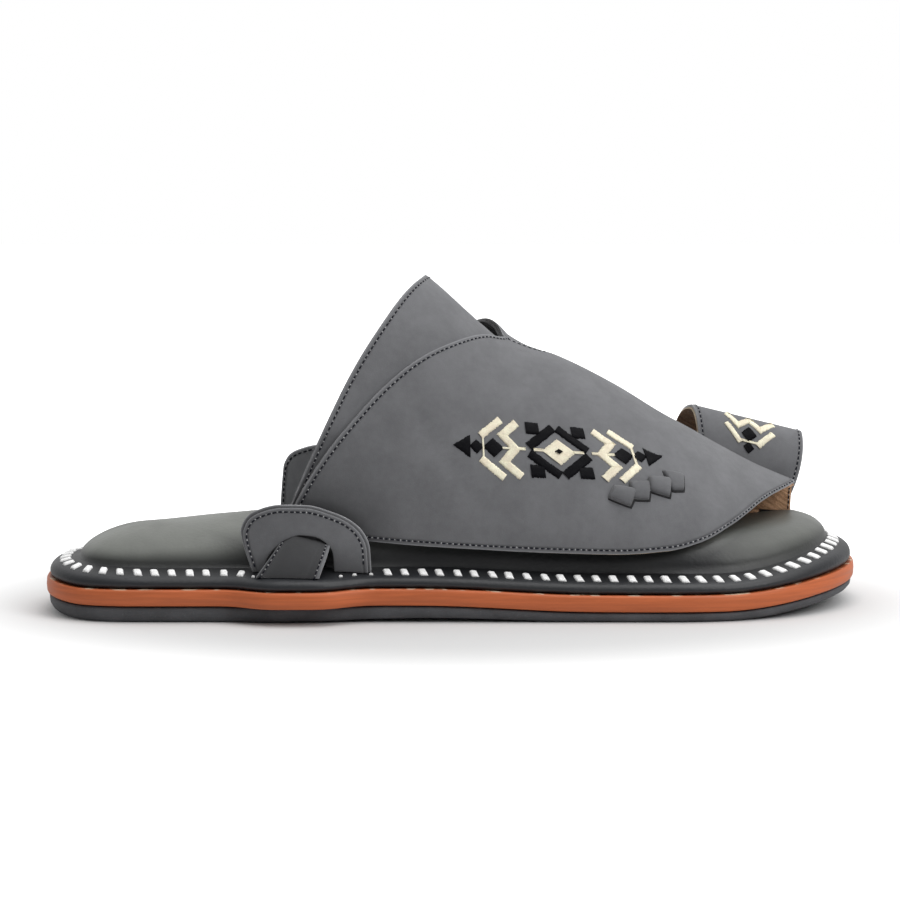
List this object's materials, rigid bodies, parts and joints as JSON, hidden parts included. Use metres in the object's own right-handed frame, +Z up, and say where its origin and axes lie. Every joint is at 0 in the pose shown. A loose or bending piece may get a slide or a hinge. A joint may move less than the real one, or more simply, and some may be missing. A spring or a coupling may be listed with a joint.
{
  "type": "arabic sandal",
  "caption": "Right-foot leather sandal with a layered sole, a padded footbed, a wide open upper whose tails pass through side ears, and a toe ring, for walking.",
  "frame": {"origin": "on the floor, under the middle of the sandal's box", "axes": "+X from heel to toe, +Y towards the inner side of the foot, +Z up"},
  "size_m": [0.2888, 0.117, 0.1166],
  "materials": {
    "outsole_rubber": "matte dark grey",
    "midsole_tan": "smooth tan edge, slightly glossy",
    "footbed_leather": "charcoal, satin",
    "upper_nubuck": "grey nubuck, matte"
  },
  "bodies": {
    "root": {"outsole": "outsole_rubber", "midsole": "midsole_tan", "footbed": "footbed_leather", "upper": "upper_nubuck", "toe_ring": "upper_nubuck", "ear_lateral": "upper_nubuck", "ear_medial": "upper_nubuck", "thong": "upper_nubuck"}
  },
  "joints": []
}
